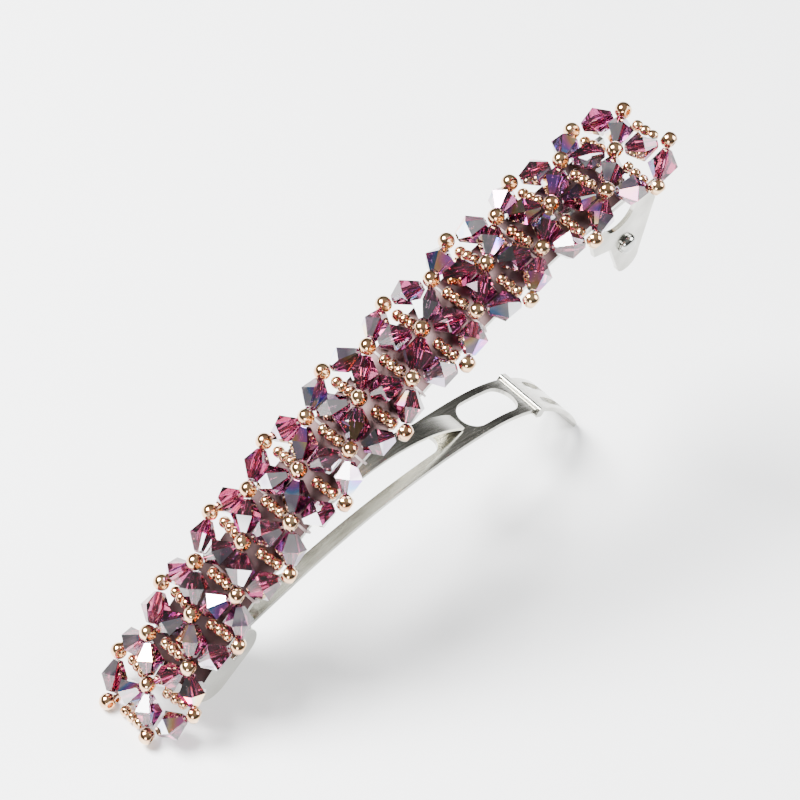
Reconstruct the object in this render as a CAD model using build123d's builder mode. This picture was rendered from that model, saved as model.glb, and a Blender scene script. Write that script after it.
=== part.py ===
"""Open spring barrette with a woven band of bicone crystals and seed beads.

The clip stands as an open jaw. Its band slopes up from the hinge end, and the clasp arm
reaches from the hinge to the surface in front. +X runs from the hinge end to the arm's tip,
+Y runs across the clip and +Z is up. All sizes are in millimetres.
"""
import os
from math import asin, atan2, cos, degrees, radians, sin
from random import Random

from build123d import *

os.makedirs("parts", exist_ok=True)

# Weave: crystals on the diagonals of a net, seed beads at its crossings
LAST_COLUMN = 18
COLUMN_PITCH = 5.3
ROW_ACROSS = (6.35, 3.4, 0.0, -3.4, -6.35)
ROW_RISE = (-1.6, 0.15, 0.0, 0.15, -1.6)
ARCH_RADIUS = 105.0
WEAVE_LEAN = 0.08
CRYSTAL_GIRDLE = 3.7
CRYSTAL_LENGTH = 3.8
CRYSTAL_END = 1.3
CRYSTAL_HOLE = 0.9
SEED_DIAMETER = 2.05
SEED_LENGTH = 1.5
SEED_HOLE = 0.8
SEED_RIM = 0.06
CHAIN_DIAMETER = 1.5
CHAIN_LENGTH = 1.0
CHAIN_STEP = 1.15
CHAIN_DROP = 0.8
NODE_LIFT = 0.25
THREAD_DIAMETER = 0.3
THREAD_SHOWING = 0.1
STRING_SLACK = 0.05
STRING_SWAY = 0.12
HAND_SEED = 11

# Steel finding: the arched bar with its hinge cheeks
SHEET = 0.6
BAR_DROP = 2.9
BAR_WIDTH = 8.0
BAR_LENGTH = 80.0
SEWING_HOLE = 1.8
SEWING_HOLE_INSET = 3.4
HINGE_ALONG = -31.8
HINGE_DOWN = 10.6
HINGE_CHEEK = 3.4
HEEL = (-36.8, 12.6)
HEEL_CHEEK = 2.4
LUG_HOLE = 1.95

# Clasp arm, measured along its chord from the hinge
ARM_CHORD = 63.5
ARM_CREST = (42.0, 11.6)
ARM_OPEN = 41.15
ARM_WIDTH = 7.2
ARM_TIP_WIDTH = 6.4
RAIL = 1.9
LONG_SLOT = (8.0, 35.0)
EYE = (40.0, 50.0)
EYE_WIDTH = 4.4
TONGUE_SLOTS = (55.0, 60.5)
TONGUE_SLOT_WIDTH = 1.5
TONGUE_SLOT_SIDE = 1.65
LUG_WIDTH = 1.7
LUG_REACH = 0.7

# Spring leaf, collar, clasp and its catches
LEAF_SHEET = 0.4
LEAF_WIDTH = 2.6
LEAF_CREST = (24.0, 15.2)
LEAF_FOOT = 5.0
LEAF_END = 39.0
COLLAR = (51.4, 52.9)
COLLAR_WALL = 0.4
COLLAR_CORNER = 0.3
PLATE_ARC = 37.6
PLATE_LENGTH = 9.4
PLATE_GAP = 0.12
PLATE_SHEET = 0.5
PLATE_CORNER = 0.8
EYELET = 2.4
EAR_GAP = 0.1
RIVET = 1.6
RIVET_HEAD = 2.6
RIVET_CAP = 0.3
RIVET_BACK = 3.6
RIVET_TAPER = 30
EAR_OUTLINE = (
    (38.9, 11.3), (42.4, 12.9), (42.3, 14.0), (35.7, 23.1), (32.3, 22.4),
    (32.9, 16.2), (30.7, 13.8), (31.2, 11.6), (33.4, 10.4), (36.2, 11.2),
)
EAR_TIP = (34.1, 22.3)
EAR_ROUND = 1.85
EAR_NOTCH = (36.2, 11.2)
EAR_NOTCH_ROUND = 2.7
STUD_SPOT = (35.0, 18.4)
STUD = 1.2
STUD_HEAD = 2.6
STUD_RISE = 0.85
STUD_DOME = 0.75
STUD_REACH = 0.3
BINDING_ARCS = (-26.5, -15.9, -5.3, 5.3, 15.9, 26.5)
BINDING = 0.25
FIT = 0.05

# How the clip stands: the slope of its band, and the arch centre's place over the surface
BAND_SLOPE = 33.17
ARCH_CENTRE_X = 51.752
ARCH_CENTRE_Z = -52.605

slope = radians(BAND_SLOPE)
BAND = Plane(origin=(ARCH_CENTRE_X, 0, ARCH_CENTRE_Z), x_dir=(cos(slope), 0, sin(slope)), z_dir=(0, -1, 0))
HINGE = BAND.from_local_coords((HINGE_ALONG, ARCH_RADIUS - HINGE_DOWN, 0))
reach = radians(BAND_SLOPE - ARM_OPEN)
ARM = Plane(origin=HINGE, x_dir=(cos(reach), 0, sin(reach)), z_dir=(0, -1, 0))
ARM_TOP = Plane(origin=HINGE, x_dir=ARM.x_dir, z_dir=ARM.y_dir)


def weave_point(column, row, lift=0.0):
    """World point of a crossing of the net, which lies on the arch."""
    across = ROW_ACROSS[row]
    angle = ((column - LAST_COLUMN / 2) * COLUMN_PITCH - WEAVE_LEAN * across) / ARCH_RADIUS
    radius = ARCH_RADIUS + ROW_RISE[row] + lift
    return BAND.from_local_coords((radius * sin(angle), radius * cos(angle), -across))


def bar_plane(arc, depth):
    """Plane that faces outwards on the arch, this far along it and this far under the net."""
    angle = arc / ARCH_RADIUS
    radius = ARCH_RADIUS - depth
    origin = BAND.from_local_coords((radius * sin(angle), radius * cos(angle), 0))
    outward = BAND.from_local_coords(((radius + 1) * sin(angle), (radius + 1) * cos(angle), 0)) - origin
    return Plane(origin=origin, x_dir=(0, 1, 0), z_dir=outward)


# One crystal: a six-sided double cone with flat ends and a stringing hole
with BuildPart() as crystal:
    with BuildSketch(Plane.XY):
        RegularPolygon(CRYSTAL_GIRDLE / 2, 6)
    with BuildSketch(Plane.XY.offset(CRYSTAL_LENGTH / 2)):
        RegularPolygon(CRYSTAL_END / 2, 6)
    loft()
    mirror(about=Plane.XY)
    Hole(CRYSTAL_HOLE / 2)


def bead(diameter, length, hole):
    """A seed bead: a ball with cut ends, softened rims and its hole along Z."""
    with BuildPart() as ball:
        with BuildSketch(Plane.XZ):
            Circle(diameter / 2)
            with Locations((hole / 2 + diameter / 2, 0)):
                Rectangle(diameter, length, mode=Mode.INTERSECT)
            fillet(vertices(), SEED_RIM)
        revolve(axis=Axis.Z)
    return ball.part


node_seed = bead(SEED_DIAMETER, SEED_LENGTH, SEED_HOLE)
chain_seed = bead(CHAIN_DIAMETER, CHAIN_LENGTH, SEED_HOLE)
hand = Random(HAND_SEED)


def crystal_place(column, gap):
    """The diagonal in this column and gap, with the unevenness of hand stringing."""
    rises = (column + gap) % 2 == 0
    start = weave_point(column, gap + 1 if rises else gap)
    end = weave_point(column + 1, gap if rises else gap + 1)
    sway = Vector(*(hand.uniform(-STRING_SWAY, STRING_SWAY) for axis in range(3)))
    along = (end - start + sway).normalized()
    middle = (start + end) * 0.5 + along * hand.uniform(-STRING_SLACK, STRING_SLACK)
    outward = Vector(0, 1, 0).cross(along).normalized()
    spin = radians(hand.uniform(0, 60))
    return Plane(origin=middle, x_dir=outward * cos(spin) + along.cross(outward) * sin(spin), z_dir=along)


# Crystals, a node for each step along the band
thread_runs = []
for column in range(LAST_COLUMN):
    places = [crystal_place(column, gap) for gap in range(4)]
    thread_runs += places
    with BuildPart() as crystals:
        with Locations(*[place.location for place in places]):
            add(crystal.part)
    crystals.part.label = f"crystals_{column + 1:02d}"
    export_step(crystals.part, f"parts/crystals_{column + 1:02d}.step")


def chain_places(column, top_row):
    """Three small seeds strung across a cell of the net, a little under its crossings."""
    first = weave_point(column, top_row, -CHAIN_DROP)
    last = weave_point(column, top_row + 2, -CHAIN_DROP)
    across = (last - first).normalized()
    centre = (first + last) * 0.5
    return [Plane(origin=centre + across * (CHAIN_STEP * step), z_dir=across) for step in (-1, 0, 1)]


def node_place(column, row):
    """A crossing's seed, strung across the band."""
    last_row = len(ROW_ACROSS) - 1
    across = weave_point(column, min(row + 1, last_row)) - weave_point(column, max(row - 1, 0))
    return Plane(origin=weave_point(column, row, NODE_LIFT), z_dir=across)


# Seed beads, a node for each column of the net
chain_runs = []
for column in range(LAST_COLUMN + 1):
    odd = column % 2 == 1
    rows = (0, 2, 4) if odd else (1, 3)
    chains = [chain_places(column, row) for row in rows[:-1]]
    chain_runs += [chain[1] for chain in chains]
    with BuildPart() as seeds:
        with Locations(*[node_place(column, row).location for row in rows]):
            add(node_seed)
        with Locations(*[place.location for chain in chains for place in chain]):
            add(chain_seed)
    seeds.part.label = f"seed_beads_{column:02d}"
    export_step(seeds.part, f"parts/seed_beads_{column:02d}.step")

# Stringing thread, where it runs through the crystals and the chains of seeds
with BuildPart() as stringing_thread:
    with Locations(*[place.location for place in thread_runs]):
        Cylinder(THREAD_DIAMETER / 2, CRYSTAL_LENGTH + THREAD_SHOWING)
    with Locations(*[place.location for place in chain_runs]):
        Cylinder(THREAD_DIAMETER / 2, 3 * CHAIN_STEP)
stringing_thread.part.label = "stringing_thread"
export_step(stringing_thread.part, "parts/stringing_thread.step")

# Arched bar with a folded cheek each side of the hinge and a sewing hole near each end
bar_top = ARCH_RADIUS - BAR_DROP
bar_half_angle = degrees(BAR_LENGTH / 2 / bar_top)
hinge_spot = (HINGE_ALONG, ARCH_RADIUS - HINGE_DOWN)
heel_spot = (HEEL[0], ARCH_RADIUS - HEEL[1])
sewing_arc = BAR_LENGTH / 2 - SEWING_HOLE_INSET
with BuildPart() as base_bar:
    with BuildSketch(BAND):
        with BuildLine():
            upper = CenterArc((0, 0), bar_top, 90 - bar_half_angle, 2 * bar_half_angle)
            lower = CenterArc((0, 0), bar_top - SHEET, 90 - bar_half_angle, 2 * bar_half_angle)
            Line(upper @ 0, lower @ 0)
            Line(upper @ 1, lower @ 1)
        make_face()
    extrude(amount=BAR_WIDTH / 2, both=True)
    for end in (-1, 1):
        with BuildSketch(bar_plane(end * sewing_arc, BAR_DROP)):
            Circle(SEWING_HOLE / 2)
        extrude(amount=2 * SHEET, both=True, mode=Mode.SUBTRACT)
    with BuildSketch(bar_plane(PLATE_ARC - RIVET_BACK, BAR_DROP)):
        Circle(RIVET / 2)
    extrude(amount=2 * SHEET, both=True, mode=Mode.SUBTRACT)
    with BuildSketch(BAND.offset(BAR_WIDTH / 2)):
        with BuildLine():
            CenterArc(hinge_spot, HINGE_CHEEK, 0, 360)
            CenterArc(heel_spot, HEEL_CHEEK, 0, 360)
        make_hull()
        Circle(bar_top, mode=Mode.INTERSECT)
        with Locations(hinge_spot):
            Circle(LUG_HOLE / 2, mode=Mode.SUBTRACT)
    cheek = extrude(amount=SHEET)
    mirror(cheek, about=Plane.XZ)
base_bar.part.label = "base_bar"
export_step(base_bar.part, "parts/base_bar.step")

# The arm's arch: two arcs that meet level at its crest
root_bend = (ARM_CREST[0] ** 2 + ARM_CREST[1] ** 2) / (2 * ARM_CREST[1])
tip_bend = ((ARM_CHORD - ARM_CREST[0]) ** 2 + ARM_CREST[1] ** 2) / (2 * ARM_CREST[1])
arm_start = 2 * atan2(ARM_CREST[1], ARM_CREST[0])


def arm_tilt(along):
    """How far the arm has turned over, in radians, at this place along its chord."""
    return asin((along - ARM_CREST[0]) / (root_bend if along < ARM_CREST[0] else tip_bend))


def arm_point(along, lift=0.0):
    """Point at this place along the arm's chord, this far off the middle of its sheet."""
    bend = root_bend if along < ARM_CREST[0] else tip_bend
    tilt = arm_tilt(along)
    return (ARM_CREST[0] + (bend + lift) * sin(tilt), ARM_CREST[1] - bend + (bend + lift) * cos(tilt))


# Clasp arm: an arched strip with lugs in the cheeks, slots along it and a forked tip
arm_edge = [
    (-SHEET, ARM_WIDTH / 2), (LONG_SLOT[0], ARM_WIDTH / 2),
    (LONG_SLOT[1], ARM_TIP_WIDTH / 2), (ARM_CHORD + SHEET, ARM_TIP_WIDTH / 2),
]
with BuildPart() as clasp_arm:
    with BuildSketch(ARM):
        with BuildLine():
            TangentArc((0, 0), ARM_CREST, tangent=(cos(arm_start), sin(arm_start)))
            TangentArc(ARM_CREST, (ARM_CHORD, 0), tangent=(1, 0))
        trace(line_width=SHEET)
    extrude(amount=ARM_WIDTH / 2, both=True)
    with BuildSketch(ARM_TOP):
        with BuildLine():
            Polyline(*arm_edge, *[(along, -across) for along, across in reversed(arm_edge)], close=True)
        make_face()
        with Locations((sum(LONG_SLOT) / 2, 0)):
            SlotOverall(LONG_SLOT[1] - LONG_SLOT[0], ARM_WIDTH - 2 * RAIL, mode=Mode.SUBTRACT)
        with Locations((sum(EYE) / 2, 0)):
            SlotOverall(EYE[1] - EYE[0], EYE_WIDTH, mode=Mode.SUBTRACT)
        with Locations(*[(sum(TONGUE_SLOTS) / 2, side * TONGUE_SLOT_SIDE) for side in (-1, 1)]):
            SlotOverall(TONGUE_SLOTS[1] - TONGUE_SLOTS[0], TONGUE_SLOT_WIDTH, mode=Mode.SUBTRACT)
    extrude(amount=2 * ARM_CREST[1], both=True, mode=Mode.INTERSECT)
    with BuildSketch(ARM):
        with Locations(Location((0, 0, 0), (0, 0, degrees(arm_start)))):
            Rectangle(LUG_WIDTH, SHEET)
    extrude(amount=BAR_WIDTH / 2 + SHEET + LUG_REACH, both=True)
clasp_arm.part.label = "clasp_arm"
export_step(clasp_arm.part, "parts/clasp_arm.step")

# Spring leaf: a thin strip that bows over the arm from the hinge end to the web before the eye
leaf_lift = SHEET / 2 + LEAF_SHEET / 2 + FIT
with BuildPart() as spring_leaf:
    with BuildSketch(ARM):
        with BuildLine():
            ThreePointArc(arm_point(LEAF_FOOT, leaf_lift), LEAF_CREST, arm_point(LEAF_END, leaf_lift))
        trace(line_width=LEAF_SHEET)
    extrude(amount=LEAF_WIDTH / 2, both=True)
spring_leaf.part.label = "spring_leaf"
export_step(spring_leaf.part, "parts/spring_leaf.step")

# Collar: a band folded round the arm between the eye and the forked tip
collar_middle = sum(COLLAR) / 2
collar_length = COLLAR[1] - COLLAR[0]
collar_place = Location((*arm_point(collar_middle), 0), (0, 0, -degrees(arm_tilt(collar_middle))))
with BuildPart() as collar:
    with BuildSketch(ARM):
        with Locations(collar_place):
            RectangleRounded(collar_length, SHEET + 2 * FIT + 2 * COLLAR_WALL, COLLAR_CORNER)
    extrude(amount=ARM_TIP_WIDTH / 2 + FIT + COLLAR_WALL, both=True)
    with BuildSketch(ARM):
        with Locations(collar_place):
            Rectangle(2 * collar_length, SHEET + 2 * FIT)
    extrude(amount=ARM_TIP_WIDTH / 2 + FIT, both=True, mode=Mode.SUBTRACT)
collar.part.label = "arm_collar"
export_step(collar.part, "parts/arm_collar.step")

# Clasp: a plate riveted under the bar's end and a springy ear down each side of it
grip = SHEET + FIT + PLATE_SHEET
plate_plane = bar_plane(PLATE_ARC, BAR_DROP + SHEET + PLATE_GAP)
rivet_plane = bar_plane(PLATE_ARC - RIVET_BACK, BAR_DROP)
with BuildPart() as clasp_plate:
    with BuildSketch(plate_plane):
        RectangleRounded(BAR_WIDTH, PLATE_LENGTH, PLATE_CORNER)
    extrude(amount=-PLATE_SHEET)
    with BuildSketch(rivet_plane):
        Circle(RIVET / 2)
    extrude(amount=-2 * grip, mode=Mode.SUBTRACT)
    with BuildSketch(bar_plane(sewing_arc, BAR_DROP)):
        Circle(EYELET / 2)
    extrude(amount=-2 * grip, mode=Mode.SUBTRACT)
clasp_plate.part.label = "clasp_plate"
export_step(clasp_plate.part, "parts/clasp_plate.step")

with BuildPart() as clasp_rivet:
    with BuildSketch(rivet_plane.offset(FIT)):
        Circle(RIVET_HEAD / 2)
    extrude(amount=RIVET_CAP, taper=RIVET_TAPER)
    with BuildSketch(rivet_plane.offset(FIT)):
        Circle(RIVET / 2 - FIT)
    extrude(amount=-grip - 4 * FIT)
    with BuildSketch(rivet_plane.offset(-grip - 3 * FIT)):
        Circle(RIVET_HEAD / 2)
    extrude(amount=-RIVET_CAP, taper=RIVET_TAPER)
clasp_rivet.part.label = "clasp_rivet"
export_step(clasp_rivet.part, "parts/clasp_rivet.step")

# Clasp ears, each with a domed catch stud whose shank holds the arm's tip
stud_spot = (STUD_SPOT[0], ARCH_RADIUS - STUD_SPOT[1])
ear_tip = (EAR_TIP[0], ARCH_RADIUS - EAR_TIP[1])
ear_notch = (EAR_NOTCH[0], ARCH_RADIUS - EAR_NOTCH[1])
for side, name in ((-1, "left"), (1, "right")):
    inner_face = BAND.offset(side * (BAR_WIDTH / 2 + EAR_GAP))
    outer_face = inner_face.offset(side * (SHEET + FIT))
    with BuildPart() as ear:
        with BuildSketch(inner_face):
            with BuildLine():
                Polyline(*[(along, ARCH_RADIUS - down) for along, down in EAR_OUTLINE], close=True)
            make_face()
            with Locations(ear_tip):
                Circle(EAR_ROUND)
            with Locations(ear_notch):
                Circle(EAR_NOTCH_ROUND, mode=Mode.SUBTRACT)
            with Locations(stud_spot):
                Circle(STUD / 2, mode=Mode.SUBTRACT)
        extrude(amount=side * SHEET)
    ear.part.label = f"clasp_ear_{name}"
    export_step(ear.part, f"parts/clasp_ear_{name}.step")
    with BuildPart() as stud:
        with BuildSketch(outer_face):
            with Locations(stud_spot):
                Circle(STUD_HEAD / 2)
        extrude(amount=side * STUD_RISE)
        fillet(faces().sort_by(Axis.Y)[-1 if side < 0 else 0].edges(), STUD_DOME)
        with BuildSketch(outer_face):
            with Locations(stud_spot):
                Circle(STUD / 2 - FIT)
        extrude(amount=-side * (SHEET + FIT + STUD_REACH))
    stud.part.label = f"catch_stud_{name}"
    export_step(stud.part, f"parts/catch_stud_{name}.step")

# Binding threads: a turn of thread round the bar at each place where the weave is sewn down
bar_middle = BAR_DROP + SHEET / 2
with BuildPart() as binding_threads:
    for arc in BINDING_ARCS:
        seat = bar_plane(arc, bar_middle)
        with BuildSketch(Plane(origin=seat.origin, x_dir=(0, 1, 0), z_dir=seat.y_dir)):
            Rectangle(BAR_WIDTH + 2 * (FIT + BINDING), SHEET + 2 * (FIT + BINDING))
            Rectangle(BAR_WIDTH + 2 * FIT, SHEET + 2 * FIT, mode=Mode.SUBTRACT)
        extrude(amount=BINDING / 2, both=True)
binding_threads.part.label = "binding_threads"
export_step(binding_threads.part, "parts/binding_threads.step")
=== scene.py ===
"""Open spring barrette with a woven band of coated crystals: finishes, light and camera."""

import math

import bpy
from mathutils import Matrix, Vector


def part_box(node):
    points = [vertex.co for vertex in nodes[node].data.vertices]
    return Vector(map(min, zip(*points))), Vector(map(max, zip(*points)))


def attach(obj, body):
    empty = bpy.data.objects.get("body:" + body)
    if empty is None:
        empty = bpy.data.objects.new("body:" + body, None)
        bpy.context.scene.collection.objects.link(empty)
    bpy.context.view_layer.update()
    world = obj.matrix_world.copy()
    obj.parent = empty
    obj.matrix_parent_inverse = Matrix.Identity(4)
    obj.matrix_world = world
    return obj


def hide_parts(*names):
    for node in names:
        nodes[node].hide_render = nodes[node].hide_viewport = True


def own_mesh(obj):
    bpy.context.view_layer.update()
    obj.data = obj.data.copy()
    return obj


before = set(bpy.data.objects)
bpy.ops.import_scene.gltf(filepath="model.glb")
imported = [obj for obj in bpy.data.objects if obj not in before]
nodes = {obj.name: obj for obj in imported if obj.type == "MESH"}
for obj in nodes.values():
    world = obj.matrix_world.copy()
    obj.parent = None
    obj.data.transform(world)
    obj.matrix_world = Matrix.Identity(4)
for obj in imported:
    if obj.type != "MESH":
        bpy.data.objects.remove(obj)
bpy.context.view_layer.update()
scene = bpy.context.scene

# Camera: round the middle of the band, in degrees and metres, with its lens in millimetres
CAMERA_AZIMUTH = -52.2
CAMERA_ELEVATION = 50.1
CAMERA_ROLL = 10.3
CAMERA_DISTANCE = 0.252
CAMERA_SIDESTEP = 0.0043
CAMERA_NEAR = 0.01
LENS = 100.0
SENSOR = 36.0

# Sky: brightness against the height of a direction, from the horizon up
SKY = ((0.0, 0.8), (0.12, 0.7), (0.35, 0.15), (0.9, 1.0))
SKY_STRENGTH = 0.36
FLOOR_SIDE = 4.0
FLOOR_COLOUR = (0.93, 0.935, 0.94, 1.0)

# Refractive index of the crystals' glass and of their coating
GLASS_INDEX = 1.56
COATING_INDEX = 1.9
# How often the coating's colour changes from facet to facet, and along one facet
FACET_HUES = 7.0
DRIFT_HUES = 0.9
COATING_COLOURS = (
    (0.00, (0.98, 0.98, 1.00)), (0.26, (0.90, 0.88, 0.94)), (0.34, (0.48, 0.40, 0.54)),
    (0.48, (0.62, 0.50, 0.66)), (0.56, (1.00, 0.80, 0.42)), (0.63, (1.00, 0.50, 0.22)),
    (0.70, (1.00, 0.26, 0.62)), (0.79, (0.46, 0.18, 0.85)), (0.86, (0.20, 0.50, 1.00)),
    (0.92, (0.92, 0.94, 1.00)),
)
GLASS_COLOURS = (
    (0.35, (0.30, 0.03, 0.08)), (0.50, (0.46, 0.09, 0.16)), (0.65, (0.34, 0.05, 0.18)),
)
SEED_COLOURS = ((0.35, (0.66, 0.34, 0.17)), (0.65, (0.88, 0.60, 0.34)))
THREAD_COLOURS = ((0.3, (0.50, 0.38, 0.38)), (0.7, (0.62, 0.50, 0.48)))

# Steel: how fine its grain is along x, y and z, its roughness, and its darkest and lightest shade
ARM_STEEL = ((300.0, 4000.0, 300.0), 0.16, (0.36, 0.35, 0.31), (0.58, 0.57, 0.52))
LEAF_STEEL = ((300.0, 5000.0, 300.0), 0.2, (0.36, 0.35, 0.31), (0.56, 0.55, 0.50))
BAR_STEEL = ((300.0, 4000.0, 300.0), 0.2, (0.50, 0.50, 0.45), (0.66, 0.66, 0.61))
STUD_STEEL = ((900.0, 900.0, 900.0), 0.08, (0.42, 0.42, 0.39), (0.52, 0.52, 0.49))

# The bar's face under the beads: how nearly it faces them, the near-black colour painted there as
# shade from the beads, and its duller roughness
UNDER_BEADS = 0.9
PAINTED_SHADE_COLOUR = (0.07, 0.045, 0.045, 1.0)
DULLED_ROUGHNESS = 0.5


def middle(node):
    """Centre of a CAD node's box."""
    low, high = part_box(node)
    return (low + high) / 2


# ---------------------------------------------------------------- materials

def grey(value):
    return (value, value, value)


def fill_ramp(ramp, stops):
    """Set a colour ramp from pairs of a place and a colour."""
    while len(ramp.elements) < len(stops):
        ramp.elements.new(0.5)
    for element, (place, colour) in zip(ramp.elements, stops):
        element.position = place
        element.color = (*colour, 1.0)


class Paint:
    """A node material with a Principled shader, and short calls that add nodes to it."""

    def __init__(self, name, **sockets):
        self.material = bpy.data.materials.new(name)
        self.material.use_nodes = True
        self.tree = self.material.node_tree
        self.shader = next(n for n in self.tree.nodes if n.type == "BSDF_PRINCIPLED")
        for socket, value in sockets.items():
            self.shader.inputs[socket.replace("_", " ")].default_value = value

    def link(self, value, socket):
        """Feed a socket from another node, or with a plain value."""
        if isinstance(value, bpy.types.NodeSocket):
            self.tree.links.new(value, socket)
        else:
            socket.default_value = value

    def node(self, kind, **inputs):
        made = self.tree.nodes.new(kind)
        for key, value in inputs.items():
            self.link(value, made.inputs[key.replace("_", " ")])
        return made

    def operation(self, kind, name, *values):
        """A maths node with its inputs in order."""
        made = self.tree.nodes.new(kind)
        made.operation = name
        for value, socket in zip(values, made.inputs):
            self.link(value, socket)
        return made

    def maths(self, name, *values):
        return self.operation("ShaderNodeMath", name, *values).outputs[0]

    def vector_maths(self, name, *values):
        return self.operation("ShaderNodeVectorMath", name, *values)

    def noise(self, **inputs):
        return self.node("ShaderNodeTexNoise", **inputs).outputs[0]

    def place(self):
        """Where a surface point is on its own object."""
        return self.node("ShaderNodeTexCoord").outputs["Object"]

    def facing(self):
        """Which way a flat face looks."""
        return self.node("ShaderNodeNewGeometry").outputs["True Normal"]

    def ramp(self, factor, stops):
        made = self.tree.nodes.new("ShaderNodeValToRGB")
        fill_ramp(made.color_ramp, stops)
        self.link(factor, made.inputs[0])
        return made.outputs[0]

    def mixed(self, factor, first, second, colour=True):
        """One colour, or one number, turning into another."""
        made = self.tree.nodes.new("ShaderNodeMix")
        made.data_type = "RGBA" if colour else "FLOAT"
        a, b, result = (6, 7, 2) if colour else (2, 3, 0)
        for value, index in ((factor, 0), (first, a), (second, b)):
            self.link(value, made.inputs[index])
        return made.outputs[result]

    def spread(self, factor, low, high):
        """A 0 to 1 value moved to a range."""
        return self.node("ShaderNodeMapRange", Value=factor, To_Min=low, To_Max=high).outputs[0]

    def finish(self, **sockets):
        """Feed the shader's sockets by name, and return the material."""
        for socket, value in sockets.items():
            self.link(value, self.shader.inputs[socket.replace("_", " ")])
        return self.material


def facet_noise(paint, scale, seed):
    """A value that is the same all over one flat facet, and differs from facet to facet."""
    shifted = paint.vector_maths("ADD", paint.facing(), grey(seed)).outputs[0]
    return paint.noise(Vector=shifted, Scale=scale, Detail=0.0)


def crystal_finish():
    """Amethyst glass under a rainbow coating that mirrors on some facets."""
    paint = Paint("coated_amethyst", Roughness=0.02, IOR=GLASS_INDEX, Transmission_Weight=1.0,
                  Coat_Weight=0.5, Coat_Roughness=0.02, Coat_IOR=COATING_INDEX)
    drift = paint.noise(Vector=paint.place(), Scale=260.0, Detail=0.0)
    by_facet = paint.maths("MULTIPLY", facet_noise(paint, scale=2.3, seed=1.3), FACET_HUES)
    hue = paint.maths("FRACT", paint.maths("MULTIPLY_ADD", drift, DRIFT_HUES, by_facet))
    coating = paint.ramp(hue, COATING_COLOURS)
    glass = paint.ramp(facet_noise(paint, scale=1.9, seed=7.7), GLASS_COLOURS)
    coated = paint.ramp(facet_noise(paint, scale=3.1, seed=4.1),
                        ((0.51, grey(0.0)), (0.54, grey(1.0))))
    return paint.finish(Base_Color=paint.mixed(coated, glass, coating),
                        Metallic=paint.spread(coated, 0.0, 0.9))


def seed_finish():
    """Rose-gold lined glass under a clear coat."""
    paint = Paint("rose_gold_seed", Metallic=1.0, Roughness=0.12,
                  Coat_Weight=0.8, Coat_Roughness=0.03)
    mottle = paint.noise(Vector=paint.place(), Scale=700.0)
    return paint.finish(Base_Color=paint.ramp(mottle, SEED_COLOURS))


def thread_finish():
    """Clear nylon beading thread."""
    paint = Paint("beading_thread", Roughness=0.35, Transmission_Weight=0.4)
    twist = paint.noise(Vector=paint.place(), Scale=1500.0)
    return paint.finish(Base_Color=paint.ramp(twist, THREAD_COLOURS))


def steel_paint(name, grain, dull, dark, light):
    """Nickel-bright steel with a fine grain along the strip."""
    paint = Paint(name, Metallic=1.0)
    stretched = paint.vector_maths("MULTIPLY", paint.place(), grain).outputs[0]
    lines = paint.noise(Vector=stretched, Scale=1.0, Detail=6.0)
    bump = paint.node("ShaderNodeBump", Strength=0.12, Distance=0.00002, Height=lines)
    paint.finish(Base_Color=paint.ramp(lines, ((0.3, dark), (0.7, light))),
                 Roughness=paint.spread(lines, dull - 0.06, dull + 0.1),
                 Normal=bump.outputs[0])
    return paint


def bar_finish_with_painted_shade():
    """The bar's steel, with painted shade (a near-black colour) and a duller roughness on the
    face under the beads.
    """
    paint = steel_paint("bar_steel_painted_shade", *BAR_STEEL)
    band = (middle("seed_beads_18") - middle("seed_beads_00")).normalized()
    outward = (-band.z, 0.0, band.x)
    toward_beads = paint.vector_maths("DOT_PRODUCT", paint.facing(), outward).outputs["Value"]
    # Painted shade: the face under the beads gets a near-black plum colour in place of the shade
    # the beads cast on it
    painted_shade_mask = paint.maths("GREATER_THAN", toward_beads, UNDER_BEADS)
    colour, roughness = (paint.shader.inputs[socket].links[0].from_socket
                         for socket in ("Base Color", "Roughness"))
    return paint.finish(Base_Color=paint.mixed(painted_shade_mask, colour, PAINTED_SHADE_COLOUR),
                        Roughness=paint.mixed(painted_shade_mask, roughness, DULLED_ROUGHNESS, colour=False))


finishes = {
    "crystal": crystal_finish(),
    "seed_bead": seed_finish(),
    "plated_steel": steel_paint("nickel_plate", *ARM_STEEL).material,
    "leaf_steel": steel_paint("spring_steel", *LEAF_STEEL).material,
    "thread": thread_finish(),
}
polished_stud = steel_paint("polished_stud", *STUD_STEEL).material
special = {
    "base_bar": bar_finish_with_painted_shade(),
    "catch_stud_left": polished_stud,
    "catch_stud_right": polished_stud,
}


def slot_of(name):
    """The record's material slot for a CAD node."""
    if name.startswith("crystals"):
        return "crystal"
    if name.startswith("seed_beads"):
        return "seed_bead"
    if name.endswith(("thread", "threads")):
        return "thread"
    return "leaf_steel" if name == "spring_leaf" else "plated_steel"


for name, node in nodes.items():
    node.data.materials.clear()
    node.data.materials.append(special.get(name, finishes[slot_of(name)]))

# ---------------------------------------------------------------- spring leaf

# The spring leaf's strip: a copy of its CAD mesh, carried by the arm
leaf = bpy.data.objects.new("leaf_strip", nodes["spring_leaf"].data.copy())
scene.collection.objects.link(leaf)
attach(leaf, "arm")
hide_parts("spring_leaf")
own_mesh(leaf)

# ---------------------------------------------------------------- floor, light and camera

bpy.ops.mesh.primitive_plane_add(size=FLOOR_SIDE)
floor = bpy.context.object
floor.name = "floor"
floor.data.materials.append(Paint("pale_cloth", Roughness=0.6, Base_Color=FLOOR_COLOUR).material)

centre = middle("seed_beads_09")


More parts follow.
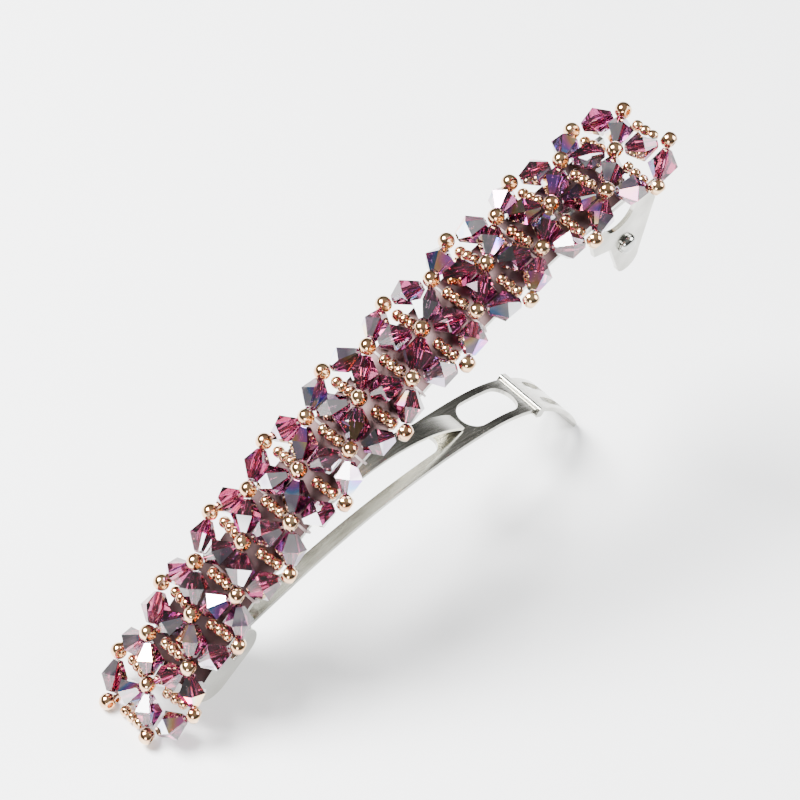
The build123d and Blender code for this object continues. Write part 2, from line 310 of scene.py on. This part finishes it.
def soft_light(name, direction, distance, size, power, tint=(1.0, 1.0, 1.0)):
    """A square area light that looks at the clip."""
    data = bpy.data.lights.new(name, "AREA")
    data.size = size
    data.energy = power
    data.color = tint
    lamp = bpy.data.objects.new(name, data)
    toward = Vector(direction).normalized()
    lamp.location = centre + toward * distance
    lamp.rotation_mode = "QUATERNION"
    lamp.rotation_quaternion = toward.to_track_quat("Z", "Y")
    scene.collection.objects.link(lamp)


soft_light("key", direction=(-0.36, 0.48, 0.78), distance=0.55, size=0.26, power=20.0)
soft_light("fill", direction=(0.7, -0.5, 0.6), distance=0.6, size=0.35, power=5.0,
           tint=(0.96, 0.98, 1.0))
soft_light("side", direction=(-0.8, -0.5, 0.35), distance=0.5, size=0.15, power=1.5)

world = bpy.data.worlds.new("studio")
scene.world = world
world.use_nodes = True
sky = world.node_tree.nodes["Background"]
sky.inputs["Strength"].default_value = SKY_STRENGTH
around = world.node_tree.nodes.new("ShaderNodeTexCoord")
height = world.node_tree.nodes.new("ShaderNodeSeparateXYZ")
shade = world.node_tree.nodes.new("ShaderNodeValToRGB")
fill_ramp(shade.color_ramp, [(place, grey(value)) for place, value in SKY])
world.node_tree.links.new(around.outputs["Generated"], height.inputs[0])
world.node_tree.links.new(height.outputs["Z"], shade.inputs[0])
world.node_tree.links.new(shade.outputs[0], sky.inputs["Color"])

azimuth, elevation, roll = (math.radians(angle) for angle in
                            (CAMERA_AZIMUTH, CAMERA_ELEVATION, CAMERA_ROLL))
back = Vector((math.sin(azimuth) * math.cos(elevation),
               -math.cos(azimuth) * math.cos(elevation),
               math.sin(elevation)))
level = Vector((math.cos(azimuth), math.sin(azimuth), 0.0))
right = (Matrix.Rotation(roll, 3, back) @ level).normalized()
camera = bpy.data.objects.new("camera", bpy.data.cameras.new("camera"))
camera.data.lens = LENS
camera.data.sensor_width = SENSOR
camera.data.clip_start = CAMERA_NEAR
aim = centre + right * CAMERA_SIDESTEP
turned = Matrix((right, back.cross(right), back)).transposed().to_4x4()
camera.matrix_world = Matrix.Translation(aim + back * CAMERA_DISTANCE) @ turned
scene.collection.objects.link(camera)
scene.camera = camera
